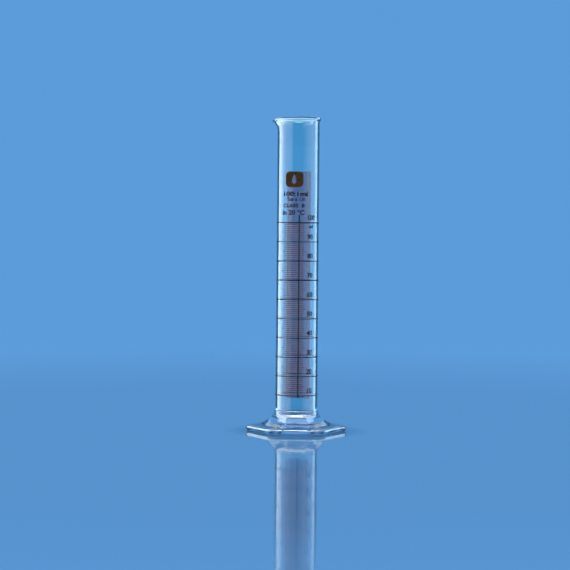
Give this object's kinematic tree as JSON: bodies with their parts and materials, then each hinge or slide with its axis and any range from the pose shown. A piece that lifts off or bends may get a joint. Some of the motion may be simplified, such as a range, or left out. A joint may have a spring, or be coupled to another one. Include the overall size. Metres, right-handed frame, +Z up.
{
  "type": "graduated cylinder",
  "caption": "Tall slim glass measuring cylinder with a beaded rim, a pouring spout, a flared hexagonal foot, fired scale marks and a reading stripe on the back.",
  "frame": {"origin": "centre of the foot's underside, on the tube's axis, on the plane that the cylinder stands on", "axes": "+Z up along the tube; -X through the spout; -Y towards the reader, who faces the scale; +X to the reader's right"},
  "size_m": [0.0768, 0.0686, 0.24],
  "materials": {
    "tube_glass": "clear, fire-polished borosilicate glass",
    "foot_glass": "clear pressed borosilicate glass with soft waves",
    "mark_enamel": "dark brown fired enamel, slightly glossy",
    "badge_enamel": "amber-brown fired enamel, slightly glossy",
    "stripe_enamel": "thin translucent violet-grey fired enamel",
    "core_enamel": "near-black fired enamel"
  },
  "bodies": {
    "root": {"tube": "tube_glass", "foot": "foot_glass", "ring_marks_10ml": "mark_enamel", "marks_5ml": "mark_enamel", "marks_1ml": "mark_enamel", "numerals": "mark_enamel", "unit_label": "mark_enamel", "legend_capacity": "mark_enamel", "legend_tolerance": "mark_enamel", "legend_class": "mark_enamel", "legend_temperature": "mark_enamel", "badge": "badge_enamel", "reading_stripe_backing": "stripe_enamel", "reading_stripe_core": "core_enamel"}
  },
  "joints": []
}
